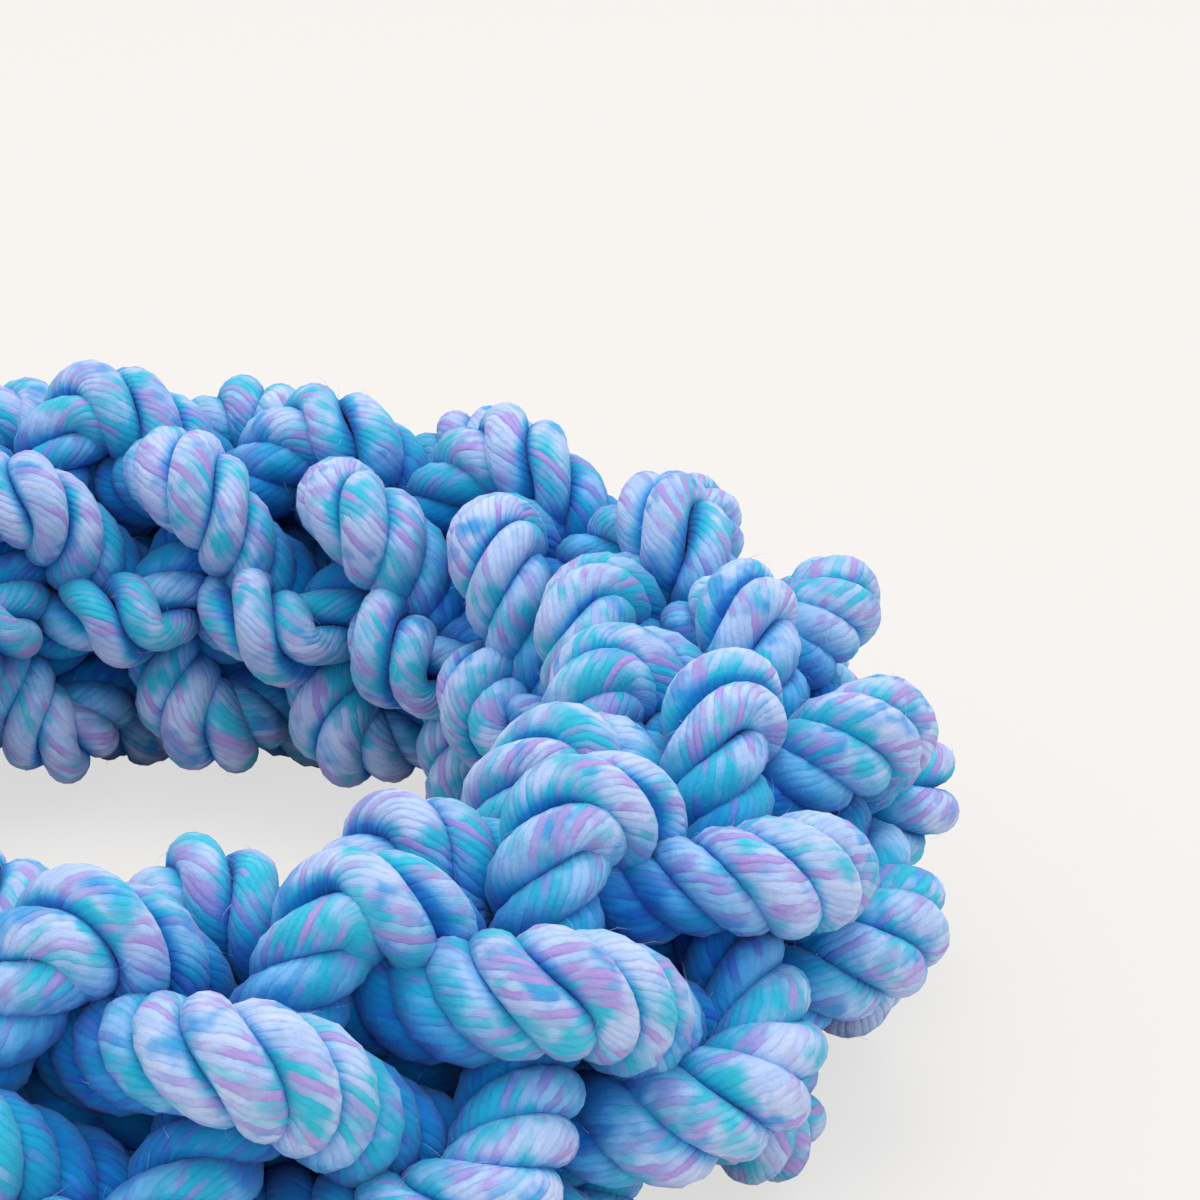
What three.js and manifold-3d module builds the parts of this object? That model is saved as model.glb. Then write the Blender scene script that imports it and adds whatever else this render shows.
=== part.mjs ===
// A chunky ring of cotton rope for a dog to chew and tug.
// Eight soft ropes are plaited into a round braid over one heart rope: four wind one way, four the other way,
// and each goes over one rope and under the next. The braid is bent round and closed into a ring.
// Millimetres, +Z up. The ring lies flat on z = 0 with its hole round the Z axis.
import * as THREE from "three";
import { mergeVertices } from "three/addons/utils/BufferGeometryUtils.js";
import Module from "manifold-3d";

// Driving sizes
const RING_DIAMETER = 130; // across the middle line of the ring's thickness
const ROPE_DIAMETER = 7.5; // a rope where the braid holds it tightest, on the side of the hole
const ROPE_SWELL = 0.15; // how much thicker a rope gets on the outer side, where the braid is looser
const ROPE_PAIRS = 4; // ropes wound each way
const ROPE_GAP = 0.35; // air left between ropes that cross
const ROW_SPACING = 1.52; // from one row of raised passes to the next round the braid, in crossing heights
const PASS_SPACING = 1.91; // least distance between ropes of one direction, in crossing heights
const WAVE_RISE = 1.38; // rise of a rope over the one it crosses, in crossing heights
const CREST_FLATNESS = 0.05; // how far a raised pass is flattened along its length
const PASS_STRAIGHTNESS = 0.4; // how far a raised pass turns towards the ring's own direction
const FLAT_SHARE = 0.1; // how deep the lowest passes are pressed flat on the floor, in rope diameters
const ROW_ANGLE = THREE.MathUtils.degToRad(130); // where one row stands, from the outer side over the top
const PASS_ANGLE = THREE.MathUtils.degToRad(61.5); // place along the ring of one raised pass in that row
const JOIN_ANGLE = THREE.MathUtils.degToRad(188); // place along the ring where the rope ends meet

const UP = new THREE.Vector3(0, 0, 1);

// Facets
const STEPS_PER_WAVE = 8;
const ROPE_SIDES = 7;
const HEART_STEPS = 56;

// Sizes that follow
const ringRadius = RING_DIAMETER / 2;
const ropeRadius = ROPE_DIAMETER / 2;
const crossing = ROPE_DIAMETER + ROPE_GAP;
const ropePairs = Math.round(ROPE_PAIRS);
const rows = 2 * ropePairs;
const rowSpacing = ROW_SPACING * crossing;
const windingRadius = (rows * rowSpacing) / (2 * Math.PI);
const passes = passesThatFit();
const turnsPerLap = passes / ropePairs;
const wave = (WAVE_RISE * crossing) / 2;
const heartRadius = windingRadius - wave - ropeRadius * (1 + ROPE_SWELL) - ROPE_GAP;

// How many raised passes fit along each row when ropes that cross lie close, counted on the hole side.
function passesThatFit() {
  const apart = PASS_SPACING * crossing;
  const halfPass = (apart * rowSpacing) / Math.sqrt(4 * rowSpacing ** 2 - apart ** 2);
  return Math.floor((Math.PI * (ringRadius - windingRadius)) / halfPass);
}

// A point by its place along the ring, its angle round the thickness and its distance from the middle line.
function ringPoint(along, around, distance) {
  const reach = ringRadius + distance * Math.cos(around);
  return new THREE.Vector3(reach * Math.cos(along), reach * Math.sin(along), distance * Math.sin(around));
}

// Where a braid rope is at a share of its lap. The way is 1 or -1, for the two directions of winding.
function braidRopeAt(way, number, share) {
  const along = JOIN_ANGLE - 2 * Math.PI * share;
  const wound = (2 * Math.PI * number) / ropePairs + way * turnsPerLap * (PASS_ANGLE - along);
  const swing = ropePairs * wound;
  const lift = (1 + CREST_FLATNESS) * Math.cos(swing) - CREST_FLATNESS * Math.cos(3 * swing);
  const straightened = wound - (way * PASS_STRAIGHTNESS * Math.sin(swing)) / ropePairs;
  return ringPoint(along, ROW_ANGLE + straightened, windingRadius + way * wave * lift);
}

// Where the heart rope is at a share of its lap.
function heartRopeAt(share) {
  return ringPoint(JOIN_ANGLE - 2 * Math.PI * share, 0, 0);
}

// Half the thickness of a braid rope at a point of its route.
function braidRopeRadius(point) {
  const outwards = Math.hypot(point.x, point.y) - ringRadius + windingRadius;
  return ropeRadius * (1 + (ROPE_SWELL * outwards) / (2 * windingRadius));
}

// One rope as a closed tube of rings with flat ends. Its two ends stay half a gap short of the join.
function ropeGeometry(pointAt, radiusAt, steps) {
  const trim = ROPE_GAP / 2 / (2 * Math.PI * (ringRadius - windingRadius));
  const near = 0.01 / steps;
  const positions = [];
  for (let i = 0; i <= steps; i += 1) {
    const share = Math.min(Math.max(i / steps, trim), 1 - trim);
    const point = pointAt(share);
    const heading = pointAt(share + near).sub(pointAt(share - near)).normalize();
    const outward = point.clone().sub(heartRopeAt(share)).addScaledVector(UP, 0.01);
    outward.addScaledVector(heading, -outward.dot(heading)).normalize();
    const sideways = heading.clone().cross(outward);
    const radius = radiusAt(point);
    for (let k = 0; k < ROPE_SIDES; k += 1) {
      const turn = (2 * Math.PI * (k + 0.5)) / ROPE_SIDES;
      const corner = point.clone().addScaledVector(outward, radius * Math.cos(turn));
      corner.addScaledVector(sideways, radius * Math.sin(turn));
      positions.push(corner.x, corner.y, corner.z);
    }
  }
  const triangles = [];
  for (let i = 0; i < steps; i += 1) {
    for (let k = 0; k < ROPE_SIDES; k += 1) {
      const a = i * ROPE_SIDES + k;
      const b = i * ROPE_SIDES + ((k + 1) % ROPE_SIDES);
      triangles.push(a, b, a + ROPE_SIDES, b, b + ROPE_SIDES, a + ROPE_SIDES);
    }
  }
  const last = steps * ROPE_SIDES;
  for (let k = 1; k < ROPE_SIDES - 1; k += 1) {
    triangles.push(0, k + 1, k);
    triangles.push(last, last + k, last + k + 1);
  }
  const geometry = new THREE.BufferGeometry();
  geometry.setAttribute("position", new THREE.Float32BufferAttribute(positions, 3));
  geometry.setIndex(triangles);
  return geometry;
}

const wasm = await Module();
wasm.setup();

// A geometry as a solid that can be cut, and back again.
function solidOf(geometry) {
  const bare = geometry.clone();
  bare.deleteAttribute("normal");
  bare.deleteAttribute("uv");
  const merged = mergeVertices(bare, 1e-4);
  const vertProperties = merged.attributes.position.array;
  const triVerts = new Uint32Array(merged.index.array);
  return new wasm.Manifold(new wasm.Mesh({ numProp: 3, vertProperties, triVerts }));
}

function geometryOf(solid) {
  const { vertProperties, triVerts } = solid.getMesh();
  const geometry = new THREE.BufferGeometry();
  geometry.setAttribute("position", new THREE.BufferAttribute(new Float32Array(vertProperties), 3));
  geometry.setIndex(new THREE.BufferAttribute(new Uint32Array(triVerts), 1));
  return geometry;
}

// The least air between two braid ropes, measured between points along them and away from the join.
function leastGap() {
  const samples = 12 * passes;
  const nearby = Math.round(samples / passes);
  const routes = [];
  for (const rope of braidRopes) {
    const route = [];
    for (let i = 0; i <= samples; i += 1) {
      const point = rope.pointAt(i / samples);
      route.push({ point, radius: braidRopeRadius(point) });
    }
    routes.push(route);
  }
  let least = Infinity;
  for (let one = 0; one < routes.length; one += 1) {
    for (let two = one + 1; two < routes.length; two += 1) {
      for (let i = 0; i <= samples; i += 1) {
        const stop = Math.min(samples, i + nearby);
        for (let k = Math.max(0, i - nearby); k <= stop; k += 1) {
          const here = routes[one][i];
          const there = routes[two][k];
          least = Math.min(least, here.point.distanceTo(there.point) - here.radius - there.radius);
        }
      }
    }
  }
  return least;
}

const braidRopes = [];
for (const [way, letter] of [[1, "a"], [-1, "b"]]) {
  for (let number = 0; number < ropePairs; number += 1) {
    const pointAt = (share) => braidRopeAt(way, number, share);
    const geometry = ropeGeometry(pointAt, braidRopeRadius, STEPS_PER_WAVE * passes);
    geometry.computeBoundingBox();
    braidRopes.push({ name: "braid_rope_" + letter + (number + 1), pointAt, geometry });
  }
}
const lowest = Math.min(...braidRopes.map((rope) => rope.geometry.boundingBox.min.z));
const floorLevel = lowest + FLAT_SHARE * ROPE_DIAMETER;

// What the floor presses away from the lowest passes
const floorWidth = 4 * (ringRadius + windingRadius);
const below = new THREE.BoxGeometry(floorWidth, floorWidth, ROPE_DIAMETER);
below.translate(0, 0, floorLevel - ROPE_DIAMETER / 2);
const floorSolid = solidOf(below);

const ring = new THREE.Group();
ring.name = "rope_ring";
for (const rope of braidRopes) {
  const geometry = geometryOf(solidOf(rope.geometry).subtract(floorSolid));
  const material = new THREE.MeshStandardMaterial({ color: 0x7fa6dc, roughness: 0.95, metalness: 0 });
  const mesh = new THREE.Mesh(geometry, material);
  mesh.name = rope.name;
  mesh.position.z = -floorLevel;
  ring.add(mesh);
}

const heartMaterial = new THREE.MeshStandardMaterial({ color: 0x6f96cf, roughness: 0.95, metalness: 0 });
const heart = new THREE.Mesh(ropeGeometry(heartRopeAt, () => heartRadius, HEART_STEPS), heartMaterial);
heart.name = "heart_rope";
heart.position.z = -floorLevel;
ring.add(heart);

console.log("passes in a row:", passes, " least gap between braid ropes, mm:", leastGap().toFixed(2));
console.log("winding radius, heart diameter, mm:", windingRadius.toFixed(2), (2 * heartRadius).toFixed(2));
console.log("middle line height, mm:", (-floorLevel).toFixed(2));

export default ring;
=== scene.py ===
# A plaited rope ring for dogs: eight three-strand cotton ropes braided round a heart rope.
import math

import bpy
import numpy as np
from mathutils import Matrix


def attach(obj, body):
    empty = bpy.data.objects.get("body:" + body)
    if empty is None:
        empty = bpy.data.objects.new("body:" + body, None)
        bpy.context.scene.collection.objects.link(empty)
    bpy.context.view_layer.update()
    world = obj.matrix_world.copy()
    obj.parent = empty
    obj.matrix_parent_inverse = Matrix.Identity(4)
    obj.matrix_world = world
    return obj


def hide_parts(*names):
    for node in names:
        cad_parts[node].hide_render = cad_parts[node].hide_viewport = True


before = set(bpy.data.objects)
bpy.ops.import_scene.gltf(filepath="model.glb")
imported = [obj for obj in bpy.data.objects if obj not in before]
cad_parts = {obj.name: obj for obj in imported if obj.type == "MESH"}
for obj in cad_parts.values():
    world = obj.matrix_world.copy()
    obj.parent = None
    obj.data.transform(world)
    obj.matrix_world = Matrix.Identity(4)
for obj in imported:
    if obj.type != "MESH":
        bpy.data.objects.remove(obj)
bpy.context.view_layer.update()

# Sizes of the braid in millimetres, as in the part
MM = 0.001
RING_RADIUS = 65.0
WINDING_RADIUS = 15.19
CREST_FLATNESS = 0.05
ROPE_PAIRS = 4
PASSES = 16
ROW_ANGLE = math.radians(130)
PASS_ANGLE = math.radians(61.5)
JOIN_ANGLE = math.radians(188)
MIDDLE_HEIGHT = 23.48

# The soft ropes press into each other, so they rise less and turn more along the ring than in the part.
# Half the rise of a rope over another, then for each way of winding how far a raised pass turns on the outer
# side and on the hole side, and how much higher and thicker a rope lies on the hole side.
WAVE = 5.1
OUTER_STRAIGHTNESS = {1: 0.6, -1: 1.0}
HOLE_STRAIGHTNESS = {1: 0.5, -1: 1.5}
HOLE_RISE = {1: 0.6, -1: -0.3}
HOLE_SWELL = {1: 0.04, -1: 0.0}

# The soft ropes, their strands and yarns; a strand's radius and offset are in rope diameters
ROPE_DIAMETER = 10.2
ROPE_SWELL = 0.07
HEART_DIAMETER = 12.0
STRANDS = 3
STRAND_RADIUS = 0.228
STRAND_OFFSET = 0.295
LAY_LENGTH = 15.0
CREST_SWELL = 0.03
YARNS = 13
YARN_TURN_LENGTH = 9.5
FLOOR_CLEARANCE = 0.05

# Where the painted shade deep in the braid is strongest and where it ends: distances from the ring's middle
# line, and cosines of the angle between a side of a strand and the direction away from the rope's middle
DEEPEST = 14.0
HIGHEST = 25.0
FACING_INWARDS = -0.15
FACING_OUTWARDS = 0.7

# Largest of the random numbers that tell strands apart in the material
STRAND_MARK_LIMIT = 100

# How uneven the hand work is, and the fewest and most waves of it in a lap
ROUTE_WANDER = 0.6
ROUTE_WAVES = (6, 24)
ROPE_UNEVENNESS = 0.045
ROPE_WAVES = (8, 40)
STRAND_UNEVENNESS = 0.06
STRAND_WAVES = (20, 90)

# Stray fibres that lean off the strands
FIBRES_PER_ROPE = 1200
FIBRE_SHORTEST = 0.8
FIBRE_LONGEST = 2.8
FIBRE_RADIUS = 0.022
FIBRE_TIP_SHARE = 0.1
FIBRE_LEAN = 0.85
FIBRE_RISE = 0.54
FIBRE_DROOP = 0.315
FIBRE_CURL = 0.5

# Fineness of the meshes
RINGS_PER_PASS = 48
SIDES = 16
FIBRE_RINGS = 3
FIBRE_SIDES = 4

rng = np.random.default_rng(7)


def unit(vectors):
    return vectors / np.linalg.norm(vectors, axis=-1, keepdims=True)


def wobble(share, slowest, fastest):
    """Smooth random values of about one, which meet again after a lap."""
    waves = np.arange(slowest, fastest + 1)[:, None]
    phase = rng.uniform(0, 2 * math.pi, waves.shape)
    height = rng.normal(0, 1, waves.shape)
    total = np.sum(height * np.sin(2 * math.pi * waves * share + phase), axis=0)
    return total / math.sqrt(len(waves) / 2)


def ring_point(along, around, distance):
    """A point by its place along the ring, angle round the thickness and distance from the middle line."""
    reach = RING_RADIUS + distance * np.cos(around)
    height = MIDDLE_HEIGHT + distance * np.sin(around)
    return np.stack([reach * np.cos(along), reach * np.sin(along), height], axis=-1)


def braid_route(way, number, share):
    """The middle of a braid rope at shares of its lap, and how high it rides there from -1 to 1."""
    along = JOIN_ANGLE - 2 * math.pi * share
    turns = PASSES / ROPE_PAIRS
    wound = 2 * math.pi * number / ROPE_PAIRS + way * turns * (PASS_ANGLE - along)
    swing = ROPE_PAIRS * wound
    lift = way * ((1 + CREST_FLATNESS) * np.cos(swing) - CREST_FLATNESS * np.cos(3 * swing))
    hole_side = (1 - np.cos(ROW_ANGLE + wound)) / 2
    straightness = OUTER_STRAIGHTNESS[way] * (1 - hole_side) + HOLE_STRAIGHTNESS[way] * hole_side
    around = ROW_ANGLE + wound - way * straightness * np.sin(swing) / ROPE_PAIRS
    distance = WINDING_RADIUS + WAVE * lift + HOLE_RISE[way] * hole_side
    return ring_point(along, around, distance), lift


def heart_route(share):
    """The middle line of the ring at shares of its lap."""
    return ring_point(JOIN_ANGLE - 2 * math.pi * share, np.zeros_like(share), 0.0)


def frames_along(points, reference):
    """Outward and sideways directions at each point of a closed route, square to it."""
    heading = unit(np.roll(points, -1, axis=0) - np.roll(points, 1, axis=0))
    outward = unit(reference - heading * np.sum(reference * heading, axis=-1, keepdims=True))
    return outward, np.cross(heading, outward)


def lengths_along(points):
    """The length of a closed route up to each point, and up to its start again."""
    steps = np.linalg.norm(np.roll(points, -1, axis=0) - points, axis=-1)
    return np.concatenate([[0.0], np.cumsum(steps)])


def strand_surface(centre, reference, radius):
    """Rings of points round a strand, each starting on the side away from the rope's middle."""
    outward, sideways = frames_along(centre, reference)
    angle = 2 * math.pi * np.arange(SIDES) / SIDES
    across = np.cos(angle)[None, :, None] * outward[:, None, :]
    across = across + np.sin(angle)[None, :, None] * sideways[:, None, :]
    return centre[:, None, :] + radius[:, None, None] * across


def openness(surface):
    """How open each point of a strand lies: 0 deep between ropes and strands, 1 on top of them; the mask of
    the painted shade.
    """
    outwards = np.hypot(surface[..., 0], surface[..., 1]) - RING_RADIUS
    from_middle = np.hypot(outwards, surface[..., 2] - MIDDLE_HEIGHT)
    on_braid = np.clip((from_middle - DEEPEST) / (HIGHEST - DEEPEST), 0, 1)
    facing = np.cos(2 * math.pi * np.arange(SIDES) / SIDES)
    on_rope = np.clip((facing - FACING_INWARDS) / (FACING_OUTWARDS - FACING_INWARDS), 0, 1)
    return on_braid * on_rope


def quad_piece(name, vertices, quads):
    """A smooth object in the scene from points in metres and faces of four corners."""
    corners = quads.astype(np.int32)
    mesh = bpy.data.meshes.new(name)
    mesh.vertices.add(len(vertices))
    mesh.vertices.foreach_set("co", vertices.astype(np.float32).ravel())
    mesh.loops.add(corners.size)
    mesh.loops.foreach_set("vertex_index", corners.ravel())
    mesh.polygons.add(len(corners))
    mesh.polygons.foreach_set("loop_start", np.arange(0, corners.size, 4, dtype=np.int32))
    mesh.update(calc_edges=True)
    mesh.polygons.foreach_set("use_smooth", np.ones(len(corners), dtype=bool))
    piece = bpy.data.objects.new(name, mesh)
    bpy.context.scene.collection.objects.link(piece)
    return piece


def rope_mesh(name, points, reference, diameter):
    """A closed three-strand rope along a route as one mesh, with yarn coordinates in its UV map."""
    outward, sideways = frames_along(points, reference)
    rings = len(points)
    share = np.arange(rings) / rings
    length = lengths_along(points)
    twist = 2 * math.pi * round(length[-1] / LAY_LENGTH) * length[:-1] / length[-1]
    ring, side = np.meshgrid(np.arange(rings), np.arange(SIDES), indexing="ij")
    next_side = (side + 1) % SIDES
    vertices = []
    faces = []
    yarn_places = []
    strand_marks = []
    open_marks = []
    for strand in range(STRANDS):
        angle = twist + 2 * math.pi * strand / STRANDS
        away = np.cos(angle)[:, None] * outward + np.sin(angle)[:, None] * sideways
        centre = points + (STRAND_OFFSET * diameter)[:, None] * away
        uneven = 1 + STRAND_UNEVENNESS * wobble(share, *STRAND_WAVES)
        surface = strand_surface(centre, away, STRAND_RADIUS * diameter * uneven)
        surface[..., 2] = np.maximum(surface[..., 2], FLOOR_CLEARANCE)
        start = strand * rings * SIDES
        here = start + ring * SIDES
        following = start + (ring + 1) % rings * SIDES
        quads = np.stack([here + side, here + next_side, following + next_side, following + side], axis=-1)
        run = lengths_along(centre)
        run *= round(run[-1] / YARN_TURN_LENGTH) / run[-1]
        round_strand = np.stack([side, side + 1, side + 1, side], axis=-1) / SIDES
        down_strand = np.stack([run[ring], run[ring], run[ring + 1], run[ring + 1]], axis=-1)
        vertices.append(surface.reshape(-1, 3) * MM)
        faces.append(quads.reshape(-1, 4))
        yarn_places.append(np.stack([round_strand, down_strand], axis=-1).reshape(-1, 2))
        strand_marks.append(np.full(rings * SIDES, rng.uniform(0, STRAND_MARK_LIMIT)))
        open_marks.append(openness(surface).ravel())
    piece = quad_piece(name, np.concatenate(vertices), np.concatenate(faces))
    mesh = piece.data
    yarn_map = mesh.uv_layers.new(name="yarns")
    yarn_map.data.foreach_set("uv", np.concatenate(yarn_places).astype(np.float32).ravel())
    for title, marks, domain in (("strand", strand_marks, "FACE"), ("open", open_marks, "POINT")):
        attribute = mesh.attributes.new(title, "FLOAT", domain)
        attribute.data.foreach_set("value", np.concatenate(marks).astype(np.float32))
    return piece


def stray_fibres(name, pieces):
    """Fine fibres that lean off the strands of all the ropes, as one piece of thin closed rods."""
    roots = []
    normals = []
    for piece in pieces:
        count = len(piece.data.vertices)
        places = np.empty(3 * count, dtype=np.float32)
        facing = np.empty(3 * count, dtype=np.float32)
        piece.data.vertices.foreach_get("co", places)
        piece.data.vertex_normals.foreach_get("vector", facing)
        chosen = rng.choice(count, FIBRES_PER_ROPE, replace=False)
        roots.append(places.reshape(-1, 3)[chosen] / MM)
        normals.append(facing.reshape(-1, 3)[chosen])
    root = np.concatenate(roots)[:, None, :]
    normal = np.concatenate(normals)[:, None, :]
    lean = unit(np.cross(normal, rng.normal(0, 1, normal.shape)))
    sideways = np.cross(lean, normal)
    length = rng.uniform(FIBRE_SHORTEST, FIBRE_LONGEST, (len(root), 1, 1))
    curl = rng.normal(0, FIBRE_CURL, (len(root), 1, 1))
    along = np.linspace(0, 1, FIBRE_RINGS)[None, :, None]
    rise = along * (FIBRE_RISE - FIBRE_DROOP * along)
    path = root + length * (FIBRE_LEAN * along * lean + rise * normal + curl * along ** 2 * sideways)
    angle = 2 * math.pi * np.arange(FIBRE_SIDES) / FIBRE_SIDES
    across = np.cos(angle)[:, None] * normal[:, :, None, :] + np.sin(angle)[:, None] * sideways[:, :, None, :]
    taper = 1 + FIBRE_TIP_SHARE - along[..., None]
    surface = path[:, :, None, :] + FIBRE_RADIUS * taper * across
    surface[..., 2] = np.maximum(surface[..., 2], FLOOR_CLEARANCE)
    fibre, ring, side = np.meshgrid(
        np.arange(len(root)), np.arange(FIBRE_RINGS - 1), np.arange(FIBRE_SIDES), indexing="ij")
    here = (fibre * FIBRE_RINGS + ring) * FIBRE_SIDES
    next_side = (side + 1) % FIBRE_SIDES
    following = here + FIBRE_SIDES
    quads = np.stack([here + side, here + next_side, following + next_side, following + side], axis=-1)
    start = np.arange(len(root))[:, None] * FIBRE_RINGS * FIBRE_SIDES
    bottom = start + np.arange(FIBRE_SIDES)[::-1]
    tip = start + (FIBRE_RINGS - 1) * FIBRE_SIDES + np.arange(FIBRE_SIDES)
    faces = np.concatenate([quads.reshape(-1, 4), tip, bottom])
    return quad_piece(name, surface.reshape(-1, 3) * MM, faces)


class Nodes:
    """Small helper that adds shader nodes and links them."""

    def __init__(self, owner):
        owner.use_nodes = True
        self.tree = owner.node_tree
        self.tree.nodes.clear()

    def add(self, kind, inputs=(), **settings):
        node = self.tree.nodes.new(kind)
        for key, value in settings.items():
            setattr(node, key, value)
        for socket, value in dict(inputs).items():
            if isinstance(value, bpy.types.NodeSocket):
                self.tree.links.new(value, node.inputs[socket])
            else:
                node.inputs[socket].default_value = value
        return node

    def math(self, operation, first, second=0.0):
        return self.add("ShaderNodeMath", {0: first, 1: second}, operation=operation).outputs[0]

    def times(self, first, second):
        return self.math("MULTIPLY", first, second)

    def plus(self, first, second):
        return self.math("ADD", first, second)

    def vector(self, x, y, z):
        return self.add("ShaderNodeCombineXYZ", {0: x, 1: y, 2: z}).outputs[0]

    def noise(self, place, scale, detail=1.0):
        inputs = {"Vector": place, "Scale": scale, "Detail": detail}
        return self.add("ShaderNodeTexNoise", inputs).outputs[0]

    def scaled(self, colour, factor):
        return self.add("ShaderNodeVectorMath", {0: colour, 3: factor}, operation="SCALE").outputs[0]

    def tinted(self, colour, tint):
        return self.add("ShaderNodeVectorMath", {0: colour, 1: tint}, operation="MULTIPLY").outputs[0]

    def mix(self, share, first, second):
        return self.add("ShaderNodeMix", {"Factor": share, 6: first, 7: second}, data_type="RGBA").outputs[2]

    def smooth(self, value, low, high):
        inputs = {"Value": value, "From Min": low, "From Max": high}
        return self.add("ShaderNodeMapRange", inputs, interpolation_type="SMOOTHSTEP").outputs[0]

    def pick(self, place):
        return self.add("ShaderNodeTexWhiteNoise", {"Vector": place}, noise_dimensions="3D").outputs[0]


def srgb(red, green, blue):
    """A colour given as it looks on screen, from 0 to 255, as the linear values that shaders use."""
    linear = []
    for channel in (red, green, blue):
        value = channel / 255
        linear.append(value / 12.92 if value <= 0.04045 else ((value + 0.055) / 1.055) ** 2.4)
    return (*linear, 1.0)


# Dyes of the yarns, and the painted shade: what the colour keeps of red, green and blue half way down and
# deep in the braid
PALE_BLUE = srgb(191, 208, 245)
MID_BLUE = srgb(168, 196, 243)
STRONG_BLUE = srgb(70, 156, 222)
TURQUOISE = srgb(52, 188, 219)
LILAC = srgb(168, 152, 221)
HALF_DEEP_SHADE_TINT = (0.26, 0.78, 0.95)
DEEP_SHADE_TINT = (0.02, 0.40, 0.78)
DEEP_LIMITS = (0.0, 0.4)
HALF_DEEP_LIMITS = (0.2, 0.8)

# How far the yarns wander, in yarns, and the scales of the noises for it
WANDER = 1.8
WANDER_SCALE = 110.0
SMALL_WANDER = 0.7
SMALL_WANDER_SCALE = 420.0

# The dyed patches: the scale of each noise, how much a yarn's own value adds, and where the dye begins and
# where it is full
STRONG_SCALE = 210.0
STRONG_OWN = 0.14
STRONG_LIMITS = (0.56, 0.78)
TURQUOISE_SCALE = 150.0
TURQUOISE_OWN = 0.16
# Painted shade colour: how much the turquoise patches grow per unit of openness below the given openness, and
# shrink above it
TURQUOISE_SHADE_STEP = 0.16
TURQUOISE_SHADE_START = 0.6
TURQUOISE_LIMITS = (0.52, 0.72)
LILAC_YARN_STEP = 7.31
LILAC_RUN = 2.6
LILAC_SCALE = 1.4
LILAC_OWN = 0.2
LILAC_LIMITS = (0.60, 0.82)

# Relief of the yarns and the fibres on them, and how much of the colour each keeps: painted shade in the
# grooves, painted light on the ridges and raised fibres
YARN_FLATNESS = 0.7
CRISP_SCALE = 190.0
CRISP_LIMITS = (0.35, 0.65)
LEAST_CRISP = 0.4
LEAST_TALLNESS = 0.5
TALLNESS_SPREAD = 0.6
FIBRES_ACROSS = 8.0
FIBRES_DOWN = 16.0
FIBRE_DETAIL = 4.0
FLUFF_SCALE = 2600.0
FLUFF_DETAIL = 3.0
FIBRE_HEIGHT = 0.7
FLUFF_HEIGHT = 0.6
RELIEF_STRENGTH = 0.6
RELIEF_DEPTH = 0.0003
GROOVE_LIGHT = 0.57
RIDGE_LIGHT = 0.15
FIBRE_LIGHT = 0.36
FLUFF_LIGHT = 0.20
PATCH_DETAIL = 2.0

# Matt cotton, and single fibres
COTTON_ROUGHNESS = 0.95
COTTON_SHINE = 0.12
COTTON_SHEEN = 0.12
SHEEN_ROUGHNESS = 0.55
FIBRE_SPOT_SCALE = 240.0
FIBRE_SPOT_LIMITS = (0.35, 0.7)
FIBRE_ROUGHNESS = 0.9


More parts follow.
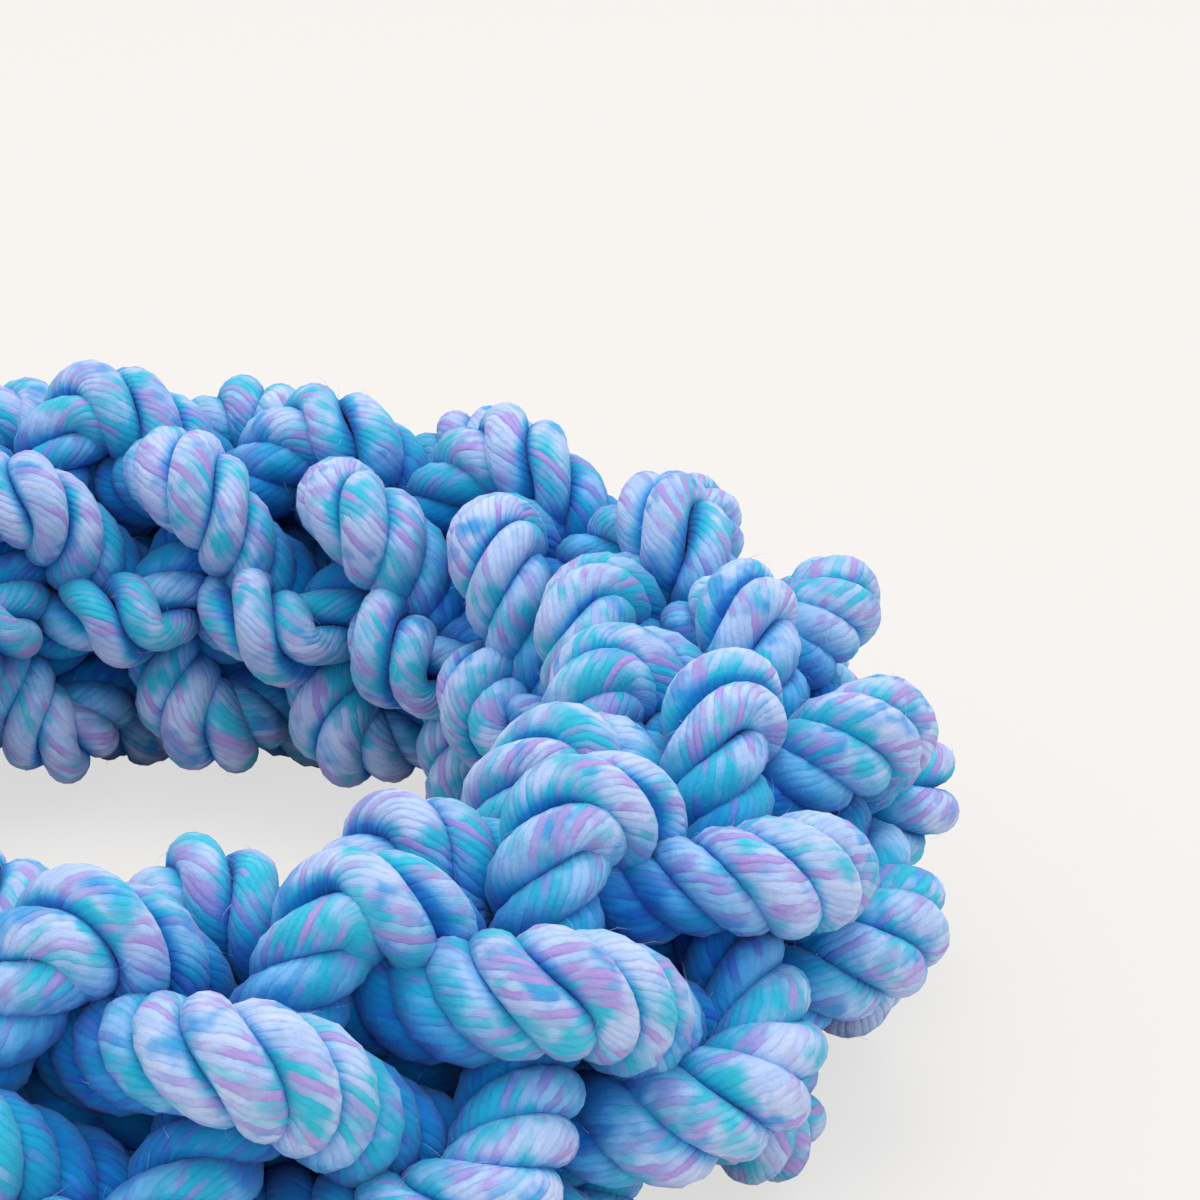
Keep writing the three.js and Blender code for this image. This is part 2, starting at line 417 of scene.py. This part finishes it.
def cotton_material(name):
    """Soft twisted cotton: dyed yarns that turn round each strand, with fine fibres on them, and painted
    shade deep in the braid and between the yarns.
    """
    material = bpy.data.materials.new(name)
    nodes = Nodes(material)
    place = nodes.add("ShaderNodeUVMap", uv_map="yarns").outputs[0]
    split = nodes.add("ShaderNodeSeparateXYZ", {0: place})
    down = split.outputs[1]
    strand = nodes.add("ShaderNodeAttribute", attribute_name="strand").outputs["Fac"]
    solid = nodes.add("ShaderNodeTexCoord").outputs["Object"]
    # Which yarn a point is on, with yarns that wander a little, and how far across it
    small_wander = nodes.times(nodes.noise(solid, SMALL_WANDER_SCALE), SMALL_WANDER)
    wander = nodes.plus(nodes.times(nodes.noise(solid, WANDER_SCALE), WANDER), small_wander)
    turned = nodes.times(nodes.plus(split.outputs[0], down), YARNS)
    phase = nodes.plus(turned, wander)
    yarn = nodes.math("FLOOR", nodes.math("FLOORED_MODULO", phase, YARNS))
    across = nodes.math("FRACT", phase)
    # Two random values of each yarn
    own = nodes.pick(nodes.vector(yarn, strand, 0.5))
    second_own = nodes.pick(nodes.vector(yarn, strand, 8.5))
    # Blues with stronger patches, turquoise dye patches painted larger deep in the braid and smaller on the
    # open tops as painted shade, and thin lilac streaks along some yarns
    strong_noise = nodes.noise(solid, STRONG_SCALE, PATCH_DETAIL)
    strong = nodes.plus(strong_noise, nodes.times(second_own, STRONG_OWN))
    light_blues = nodes.mix(own, MID_BLUE, PALE_BLUE)
    blues = nodes.mix(nodes.smooth(strong, *STRONG_LIMITS), light_blues, STRONG_BLUE)
    open_share = nodes.add("ShaderNodeAttribute", attribute_name="open").outputs["Fac"]
    # Painted shade: more turquoise deep in the braid, less on the open tops
    turquoise_shade_shift = nodes.times(nodes.math("SUBTRACT", open_share, TURQUOISE_SHADE_START), TURQUOISE_SHADE_STEP)
    turquoise_noise = nodes.noise(solid, TURQUOISE_SCALE, PATCH_DETAIL)
    mottle = nodes.plus(turquoise_noise, nodes.times(own, TURQUOISE_OWN))
    patch = nodes.math("SUBTRACT", mottle, turquoise_shade_shift)
    with_turquoise = nodes.mix(nodes.smooth(patch, *TURQUOISE_LIMITS), blues, TURQUOISE)
    seat = nodes.vector(nodes.times(yarn, LILAC_YARN_STEP), nodes.times(down, LILAC_RUN), strand)
    streak = nodes.plus(nodes.noise(seat, LILAC_SCALE), nodes.times(second_own, LILAC_OWN))
    dyed = nodes.mix(nodes.smooth(streak, *LILAC_LIMITS), with_turquoise, LILAC)
    # Round yarns of uneven height, and fibres that run along them
    hump = nodes.math("POWER", nodes.math("SINE", nodes.times(across, math.pi)), YARN_FLATNESS)
    sharp_places = nodes.smooth(nodes.noise(solid, CRISP_SCALE), *CRISP_LIMITS)
    crisp = nodes.plus(nodes.times(sharp_places, 1 - LEAST_CRISP), LEAST_CRISP)
    ridge = nodes.times(hump, crisp)
    tallness = nodes.plus(nodes.times(second_own, TALLNESS_SPREAD), LEAST_TALLNESS)
    fibre_place = nodes.vector(nodes.times(phase, FIBRES_ACROSS), nodes.times(down, FIBRES_DOWN), strand)
    fibre = nodes.noise(fibre_place, 1.0, FIBRE_DETAIL)
    fluff = nodes.noise(solid, FLUFF_SCALE, FLUFF_DETAIL)
    rough_height = nodes.plus(nodes.times(fibre, FIBRE_HEIGHT), nodes.times(fluff, FLUFF_HEIGHT))
    height = nodes.plus(nodes.times(ridge, tallness), rough_height)
    relief = {"Strength": RELIEF_STRENGTH, "Distance": RELIEF_DEPTH, "Height": height}
    bump = nodes.add("ShaderNodeBump", relief)
    # Painted shade and light: the colour is darker in the grooves between yarns and lighter on their ridges
    # and where fibres and fluff stand higher
    groove_shade = nodes.plus(nodes.times(ridge, RIDGE_LIGHT), GROOVE_LIGHT)
    fuzz_light = nodes.plus(nodes.times(fibre, FIBRE_LIGHT), nodes.times(fluff, FLUFF_LIGHT))
    yarn_colour = nodes.scaled(dyed, nodes.plus(groove_shade, fuzz_light))
    # Painted shade: the colour turns darker and bluer where the strands lie deep between ropes and strands
    half_deep = nodes.tinted(yarn_colour, HALF_DEEP_SHADE_TINT)
    deep = nodes.tinted(yarn_colour, DEEP_SHADE_TINT)
    lower = nodes.mix(nodes.smooth(open_share, *DEEP_LIMITS), deep, half_deep)
    shown = nodes.mix(nodes.smooth(open_share, *HALF_DEEP_LIMITS), lower, yarn_colour)
    surface = nodes.add("ShaderNodeBsdfPrincipled", {"Base Color": shown})
    nodes.tree.links.new(bump.outputs[0], surface.inputs["Normal"])
    surface.inputs["Roughness"].default_value = COTTON_ROUGHNESS
    surface.inputs["Specular IOR Level"].default_value = COTTON_SHINE
    surface.inputs["Sheen Weight"].default_value = COTTON_SHEEN
    surface.inputs["Sheen Roughness"].default_value = SHEEN_ROUGHNESS
    nodes.add("ShaderNodeOutputMaterial", {"Surface": surface.outputs[0]})
    return material


def fibre_material(name):
    """Single cotton fibres, of the same dyes as the yarns."""
    material = bpy.data.materials.new(name)
    nodes = Nodes(material)
    solid = nodes.add("ShaderNodeTexCoord").outputs["Object"]
    spot = nodes.noise(solid, FIBRE_SPOT_SCALE, PATCH_DETAIL)
    colour = nodes.mix(nodes.smooth(spot, *FIBRE_SPOT_LIMITS), PALE_BLUE, LILAC)
    surface = nodes.add("ShaderNodeBsdfPrincipled", {"Base Color": colour, "Roughness": FIBRE_ROUGHNESS})
    surface.inputs["Specular IOR Level"].default_value = COTTON_SHINE
    nodes.add("ShaderNodeOutputMaterial", {"Surface": surface.outputs[0]})
    return material


def dress(piece, node):
    """Let a piece stand for a node of the part."""
    piece.data.materials.append(cotton)
    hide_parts(node)
    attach(piece, "root")


cotton = cotton_material("space_dyed_cotton")
share = np.arange(PASSES * RINGS_PER_PASS) / (PASSES * RINGS_PER_PASS)
middle = heart_route(share)
braid = []
for way, letter in ((1, "a"), (-1, "b")):
    for number in range(ROPE_PAIRS):
        points, lift = braid_route(way, number, share)
        for axis in range(3):
            points[:, axis] += ROUTE_WANDER * wobble(share, *ROUTE_WAVES)
        room = (np.hypot(points[:, 0], points[:, 1]) - RING_RADIUS + WINDING_RADIUS) / (2 * WINDING_RADIUS)
        plump = 1 + CREST_SWELL * lift + ROPE_UNEVENNESS * wobble(share, *ROPE_WAVES)
        plump += HOLE_SWELL[way] * (1 - room)
        diameter = ROPE_DIAMETER * (1 + ROPE_SWELL * room) * plump
        node = f"braid_rope_{letter}{number + 1}"
        braid.append(rope_mesh("cotton_" + node, points, points - middle, diameter))
        dress(braid[-1], node)

upwards = np.tile([0.0, 0.0, 1.0], (len(middle), 1))
heart = rope_mesh("cotton_heart_rope", middle, upwards, np.full(len(middle), HEART_DIAMETER))
dress(heart, "heart_rope")

fibres = stray_fibres("stray_fibres", braid)
fibres.data.materials.append(fibre_material("cotton_fibre"))
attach(fibres, "root")

# A pale paper floor, which the camera sees a little brighter than it is lit
FLOOR_WIDTH = 8
PAPER_DARK = srgb(230, 220, 212)
PAPER_LIGHT = srgb(236, 226, 218)
PAPER_GLOW = srgb(240, 240, 239)
SPECKLE_SCALE = 900.0
SPECKLE_DETAIL = 2.0
GLOW_SHARE = 0.77
bpy.ops.mesh.primitive_plane_add(size=FLOOR_WIDTH, location=(0, 0, 0))
floor = bpy.context.object
floor.name = "studio_floor"
paper = Nodes(bpy.data.materials.new("pale_paper"))
floor.data.materials.append(bpy.data.materials["pale_paper"])
floor_place = paper.add("ShaderNodeTexCoord").outputs["Object"]
speckle = paper.noise(floor_place, SPECKLE_SCALE, SPECKLE_DETAIL)
tint = paper.mix(speckle, PAPER_DARK, PAPER_LIGHT)
lit = paper.add("ShaderNodeBsdfDiffuse", {"Color": tint})
glow = paper.add("ShaderNodeEmission", {"Color": PAPER_GLOW, "Strength": 1.0})
rays = paper.add("ShaderNodeLightPath").outputs
seen = paper.math("MAXIMUM", rays["Is Camera Ray"], rays["Is Glossy Ray"])
seen = paper.math("MAXIMUM", seen, rays["Is Transmission Ray"])
part_glow = paper.times(seen, GLOW_SHARE)
mixed = paper.add("ShaderNodeMixShader", {0: part_glow, 1: lit.outputs[0], 2: glow.outputs[0]})
paper.add("ShaderNodeOutputMaterial", {"Surface": mixed.outputs[0]})

# Soft light from all round, and a large lamp above that faces the middle of the floor
SKY_COLOUR = (1.0, 0.99, 0.975, 1)
SKY_STRENGTH = 1.1
KEY_PLACE = np.array([0.12, 0.10, 0.98])
KEY_POWER = 3.6
KEY_WIDTH = 0.55
world = bpy.data.worlds.new("soft_studio")
bpy.context.scene.world = world
sky = Nodes(world)
background = sky.add("ShaderNodeBackground", {"Color": SKY_COLOUR, "Strength": SKY_STRENGTH})
sky.add("ShaderNodeOutputWorld", {"Surface": background.outputs[0]})

key = bpy.data.lights.new("key", "AREA")
key.energy = KEY_POWER
key.size = KEY_WIDTH
key_light = bpy.data.objects.new("key", key)
key_light.location = KEY_PLACE
flat_reach = math.hypot(KEY_PLACE[0], KEY_PLACE[1])
slope = math.atan2(flat_reach, KEY_PLACE[2])
key_light.rotation_euler = (0.0, slope, math.atan2(KEY_PLACE[1], KEY_PLACE[0]))
bpy.context.scene.collection.objects.link(key_light)

# The camera, as the photograph was taken; the focal length is in pixels of a picture 1200 wide
TILT = math.radians(23.1)
AIM = np.array([51.9, 107.0, MIDDLE_HEIGHT - 21.7]) * MM
DISTANCE = 497.5 * MM
SENSOR_WIDTH = 36.0
FOCAL_LENGTH = 3687
PICTURE_WIDTH = 1200
NEAREST_SEEN = 0.01
lens = bpy.data.cameras.new("photo_camera")
lens.sensor_width = SENSOR_WIDTH
lens.lens = SENSOR_WIDTH * FOCAL_LENGTH / PICTURE_WIDTH
lens.clip_start = NEAREST_SEEN
camera = bpy.data.objects.new("photo_camera", lens)
camera.location = AIM + DISTANCE * np.array([0.0, -math.cos(TILT), math.sin(TILT)])
camera.rotation_euler = (math.pi / 2 - TILT, 0.0, 0.0)
bpy.context.scene.collection.objects.link(camera)
bpy.context.scene.camera = camera
bpy.context.scene.view_settings.view_transform = "Standard"
